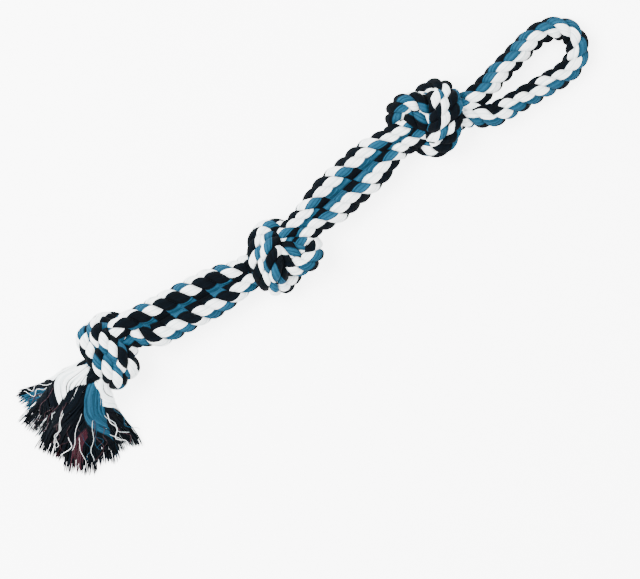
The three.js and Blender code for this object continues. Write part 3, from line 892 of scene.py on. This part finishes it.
def add_tubes(skin, paths, radii, sides, finish, tone):
    """Many round yarns at once: circles of each row's radius carried along each path."""
    count, rows = paths.shape[:2]
    along = unit(np.gradient(paths, axis=1))
    side = unit(np.cross(along, np.array([0.0, 0.0, 1.0])))
    up = np.cross(along, side)
    a = 2 * math.pi * np.arange(sides) / sides
    ring = np.cos(a)[:, None] * side[:, :, None] + np.sin(a)[:, None] * up[:, :, None]
    points = paths[:, :, None] + radii[:, :, None, None] * ring
    quads = grid_faces(rows, sides, False)
    faces = (quads[None] + (np.arange(count) * rows * sides)[:, None, None]).reshape(-1, 4)
    j = np.tile(np.arange(sides), rows - 1)
    i = np.repeat(np.arange(rows - 1), sides)
    u = np.stack([j, j + 1, j + 1, j], 1) / sides / YARN_PARTS
    v = np.stack([i, i, i + 1, i + 1], 1) * YARN_ROW_LENGTH
    coords = np.tile(np.stack([u, v], 2), (count, 1, 1))
    each = (rows - 1) * sides
    skin.add(points, faces, coords, np.repeat(finish, each), np.repeat(tone, each))


def tuft_skin(number, control, sizes):
    """A tuft of unlaid yarn. Yarns lie round an oval that widens from the knot and flattens to the tip,
    while the strand's twist carries them round it. Towards the tip they stray and gather in wisps."""
    rng = np.random.default_rng(TUFT_SEED + number)
    share, lift, twist, begin, turning, bounds, finishes = TUFTS[number]
    width = sizes.tuft_width * share
    outer, inner = sizes.tuft_yarns, sizes.tuft_yarns * 2 // 3
    count = outer + inner
    f = np.linspace(0, 1, TUFT_ROWS)[None] * spread(rng, YARN_LENGTHS, count)
    grown, tip = ease(f / TUFT_OPENS), tip_share(f)
    inset = np.concatenate([np.ones(outer), np.sqrt(rng.uniform(*INNER_YARNS, inner))])[:, None]
    wide = (TUFT_ROOT + (width - TUFT_ROOT) * grown + TUFT_FAN * tip) * inset
    deep = (TUFT_ROOT + (sizes.tuft_depth - TUFT_ROOT) * grown) * (1 - TIP_FLATTENS * tip) * inset
    place = np.concatenate([np.arange(outer) / outer, rng.uniform(0, 1, inner)])
    place = place + rng.normal(0, YARN_SHIFT, count)
    angle = 2 * math.pi * (place[:, None] + twist * ease((f - begin) / turning))
    waves = f * spread(rng, SWAY_WAVES, count) + spread(rng, (0, 1), count)
    sway = YARN_SWAY * grown * np.sin(2 * math.pi * waves)
    offset = np.stack([wide * np.cos(angle) + sway, deep * np.sin(angle)], -1)
    offset += rng.normal(0, 1, (count, 1, 2)) * TIP_STRAYS * (tip ** 2)[..., None]
    wisp = np.floor(place % 1 * TUFT_WISPS)
    for k in range(TUFT_WISPS):
        own = wisp == k
        offset[own] += WISP_GATHERS * tip[own][..., None] * (offset[own].mean(0) - offset[own])
    point, left, up = tuft_frame(control, f)
    paths = point + offset[..., :1] * left + offset[..., 1:] * up
    paths[..., 2] += lift * raised(f)
    radius = sizes.tuft_yarn_radius * spread(rng, YARN_RADII, count) * (1 - TIP_THINS * tip)
    radius[:, 0] = radius[:, -1] = 0
    paths[..., 2] = np.maximum(paths[..., 2], radius + GROUND_GAP)
    finish = np.array(finishes)[np.searchsorted(bounds, (0.5 - place) % 1)]
    # Painted shade: some yarns turn thin and black, dark lines standing for the shadowed gaps between yarns
    stray = rng.uniform(0, 1, count) < SHADOW_YARN_SHARE
    finish[stray] = BLACK
    radius[stray] *= SHADOW_YARN_THIN
    skin = Skin()
    add_tubes(skin, paths, radius, YARN_SIDES, finish, rng.normal(0, 1, count))
    add_threads(skin, rng, control, width, lift, sizes)
    return skin


def add_threads(skin, rng, control, width, lift, sizes):
    """Thin loose threads that curl over the lower half of a tuft, clear of its oval."""
    count = sizes.tuft_threads
    along = np.linspace(0, 1, THREAD_ROWS)[None]
    f = spread(rng, THREAD_STARTS, count) + along * spread(rng, THREAD_LENGTHS, count)
    f = np.minimum(f, THREAD_END)
    start = spread(rng, THREAD_PLACES, count) * width
    curl = np.sin(2 * math.pi * (spread(rng, CURL_WAVES, count) * along + spread(rng, (0, 1), count)))
    drift = rng.normal(0, THREAD_DRIFT, (count, 1))
    across = start + (drift + curl * spread(rng, CURL_WIDTHS, count)) * along
    above = sizes.tuft_depth * (1 - TIP_FLATTENS * tip_share(f)) * np.sqrt(1 - (start / width) ** 2)
    point, left, up = tuft_frame(control, f)
    paths = point + across[..., None] * left + (above + THREAD_CLEAR)[..., None] * up
    paths[..., 2] += lift * raised(f)
    radius = THREAD_RADIUS * spread(rng, THREAD_RADII, count) * np.ones_like(f)
    radius[:, 0] = radius[:, -1] = 0
    paths[..., 2] = np.maximum(paths[..., 2], THREAD_RADIUS + GROUND_GAP)
    finish = rng.choice(THREAD_FINISHES, count, p=THREAD_SHARES)
    add_tubes(skin, paths, radius, THREAD_SIDES, finish, rng.normal(0, 1, count))


class RopeToySettings(bpy.types.PropertyGroup):
    """Sizes in millimetres and colours that a user would change."""

    yarns: bpy.props.IntProperty(
        name="Yarns", description="Yarns round each strand", default=30, min=9, max=60)
    colour_cycles: bpy.props.FloatProperty(
        name="Colour turns", description="Turns of the three colours round the rope in one lay", default=2.0)
    phase: bpy.props.FloatProperty(
        name="Colour phase", description="Where round the rope the colours start, in turns", default=0.0)
    yarn_relief: bpy.props.FloatProperty(
        name="Yarn relief", description="Height of a yarn over the hollow beside it, in mm", default=0.3)
    groove: bpy.props.FloatProperty(
        name="Groove", description="Depth of the groove between strands as a share of the rope's radius",
        default=0.33, subtype="FACTOR")
    white: bpy.props.FloatVectorProperty(
        name="White", description="White cotton", size=4, subtype="COLOR",
        default=(0.83, 0.96, 0.98, 1))
    blue: bpy.props.FloatVectorProperty(
        name="Blue", description="Blue cotton", size=4, subtype="COLOR",
        default=(0.0066, 0.039, 0.071, 1))
    black: bpy.props.FloatVectorProperty(
        name="Black", description="Black cotton", size=4, subtype="COLOR",
        default=(0.0002, 0.0012, 0.0026, 1))
    maroon: bpy.props.FloatVectorProperty(
        name="Maroon", description="Stray threads in the tassel", size=4, subtype="COLOR",
        default=(0.02, 0.002, 0.006, 1))
    tuft_yarns: bpy.props.IntProperty(
        name="Tuft yarns", description="Yarns round the outside of each unlaid strand",
        default=84, min=6, max=120)
    tuft_yarn_radius: bpy.props.FloatProperty(
        name="Tuft yarn radius", description="Radius of an unlaid yarn, in mm", default=0.72)
    tuft_threads: bpy.props.IntProperty(
        name="Tuft threads", description="Thin loose threads on each unlaid strand",
        default=5, min=0, max=80)
    tuft_width: bpy.props.FloatProperty(
        name="Tuft width", description="Half the width of an unlaid strand, in mm", default=13.0)
    tuft_depth: bpy.props.FloatProperty(
        name="Tuft depth", description="Half the depth of an unlaid strand, in mm", default=7.0)


class ROPETOY_OT_knots(bpy.types.Operator):
    """Tie the bottom, middle and top knots of laid rope"""

    bl_idname = "rope_toy.knots"
    bl_label = "Knots"

    def execute(self, context):
        sizes = context.scene.rope_toy
        for tag, name in zip(KNOT_TAGS, ("bottom_knot", "middle_knot", "top_knot")):
            for leg in (0, 1):
                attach(rope_piece(name, tag, tag + 1, leg, sizes), name)
        return {"FINISHED"}


class ROPETOY_OT_spans(bpy.types.Operator):
    """Lay the two spans of rope between the knots"""

    bl_idname = "rope_toy.spans"
    bl_label = "Spans"

    def execute(self, context):
        sizes = context.scene.rope_toy
        for leg in (0, 1):
            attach(rope_piece("lower_span", 2, LOWER_BEND, leg, sizes), "bottom_knot")
            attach(rope_piece("upper_span", UPPER_BEND, 7, leg, sizes), "top_knot")
        return {"FINISHED"}


class ROPETOY_OT_bends(bpy.types.Operator):
    """Lay the stretches beside the middle knot, baked in place"""

    bl_idname = "rope_toy.bends"
    bl_label = "Bends"

    def execute(self, context):
        sizes = context.scene.rope_toy
        for leg in (0, 1):
            lower = rope_piece("lower_bend", LOWER_BEND, 4, leg, sizes)
            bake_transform(lower)
            upper = rope_piece("upper_bend", 5, UPPER_BEND, leg, sizes)
            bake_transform(upper)
        return {"FINISHED"}


class ROPETOY_OT_loop(bpy.types.Operator):
    """Lay the hand loop at the fold of the rope"""

    bl_idname = "rope_toy.loop"
    bl_label = "Hand loop"

    def execute(self, context):
        sizes = context.scene.rope_toy
        first, last = at_tag(LOOP_TAGS[0]), at_tag(LOOP_TAGS[-1])
        loop = rope_skin(first, last, sizes).piece("hand_loop_rope", yarn_finishes(COLOURS, sizes))
        roots = [f"loop_bend_{leg}_{colour}" for leg in LEGS for colour in COLOURS]
        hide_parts(*roots, *(f"loop_{colour}" for colour in COLOURS))
        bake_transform(loop)
        return {"FINISHED"}


class ROPETOY_OT_tassel(bpy.types.Operator):
    """Fray the six strand ends below the bottom knot into a tassel"""

    bl_idname = "rope_toy.tassel"
    bl_label = "Tassel"

    def execute(self, context):
        sizes = context.scene.rope_toy
        finishes = yarn_finishes(FINISHES, sizes)
        for number, (name, control) in enumerate(tuft_lines()):
            tuft = tuft_skin(number, control, sizes).piece(f"{name}_yarn", finishes)
            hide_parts(name)
            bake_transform(tuft)
        return {"FINISHED"}


def soft_light(name, place, size, power):
    """A square area light pointed at the middle of the toy, in metres and watts."""
    data = bpy.data.lights.new(name, "AREA")
    data.energy = power
    data.size = size
    light = bpy.data.objects.new(name, data)
    light.location = place
    look = unit(-np.array(place))
    light.rotation_euler = (math.acos(-look[2]), 0, math.atan2(look[0], -look[1]) + math.pi)
    bpy.context.scene.collection.objects.link(light)


class ROPETOY_OT_stage(bpy.types.Operator):
    """Set the pale floor, soft light and the camera over the toy"""

    bl_idname = "rope_toy.stage"
    bl_label = "Stage"

    def execute(self, context):
        scene = context.scene
        corners = [(FLOOR_HALF * x, FLOOR_HALF * y, 0) for x, y in ((-1, -1), (1, -1), (1, 1), (-1, 1))]
        mesh = bpy.data.meshes.new("floor")
        mesh.from_pydata(corners, [], [(0, 1, 2, 3)])
        floor = bpy.data.objects.new("floor", mesh)
        scene.collection.objects.link(floor)
        pale = bpy.data.materials.new("pale_floor")
        pale.use_nodes = True
        set_inputs(pale.node_tree.nodes["Principled BSDF"], {
            "Base Color": FLOOR_COLOUR,
            "Emission Color": PLAIN_LIGHT,
            "Emission Strength": FLOOR_GLOW,
            "Roughness": FLOOR_ROUGHNESS,
            "Specular IOR Level": FLOOR_GLOSS,
        })
        mesh.materials.append(pale)
        world = scene.world or bpy.data.worlds.new("studio")
        scene.world = world
        world.use_nodes = True
        set_inputs(world.node_tree.nodes["Background"], {"Color": PLAIN_LIGHT, "Strength": SKY_STRENGTH})
        for light in SOFT_LIGHTS:
            soft_light(*light)
        camera = bpy.data.cameras.new("camera")
        camera.sensor_width = VIEW_SENSOR
        camera.lens = VIEW_SENSOR * VIEW_DISTANCE / VIEW_WIDTH
        camera.clip_end = VIEW_END
        eye = bpy.data.objects.new("camera", camera)
        eye.location = (*VIEW_CENTRE, VIEW_DISTANCE)
        eye.rotation_euler = (0, 0, -math.radians(VIEW_ROLL))
        scene.collection.objects.link(eye)
        scene.camera = eye
        return {"FINISHED"}


class ROPETOY_PT_panel(bpy.types.Panel):
    """Lists the toy's pieces and sizes in the sidebar"""

    bl_idname = "ROPETOY_PT_panel"
    bl_label = "Rope toy"
    bl_space_type = "VIEW_3D"
    bl_region_type = "UI"
    bl_category = "Rope toy"

    def draw(self, context):
        for name in RopeToySettings.__annotations__:
            self.layout.prop(context.scene.rope_toy, name)
        for operator in STEPS:
            self.layout.operator(operator.bl_idname)


STEPS = (
    ROPETOY_OT_stage,
    ROPETOY_OT_loop,
    ROPETOY_OT_knots,
    ROPETOY_OT_spans,
    ROPETOY_OT_bends,
    ROPETOY_OT_tassel,
)
CLASSES = (RopeToySettings, *STEPS, ROPETOY_PT_panel)


def register():
    """Add the settings, the operators and the panel."""
    for one in CLASSES:
        bpy.utils.register_class(one)
    bpy.types.Scene.rope_toy = bpy.props.PointerProperty(type=RopeToySettings)


def unregister():
    """Take them away again."""
    del bpy.types.Scene.rope_toy
    for one in reversed(CLASSES):
        bpy.utils.unregister_class(one)


def main():
    """Build the stage and the toy."""
    register()
    for operator in STEPS:
        getattr(bpy.ops.rope_toy, operator.bl_idname.split(".")[1])()


if __name__ == "__main__":
    main()
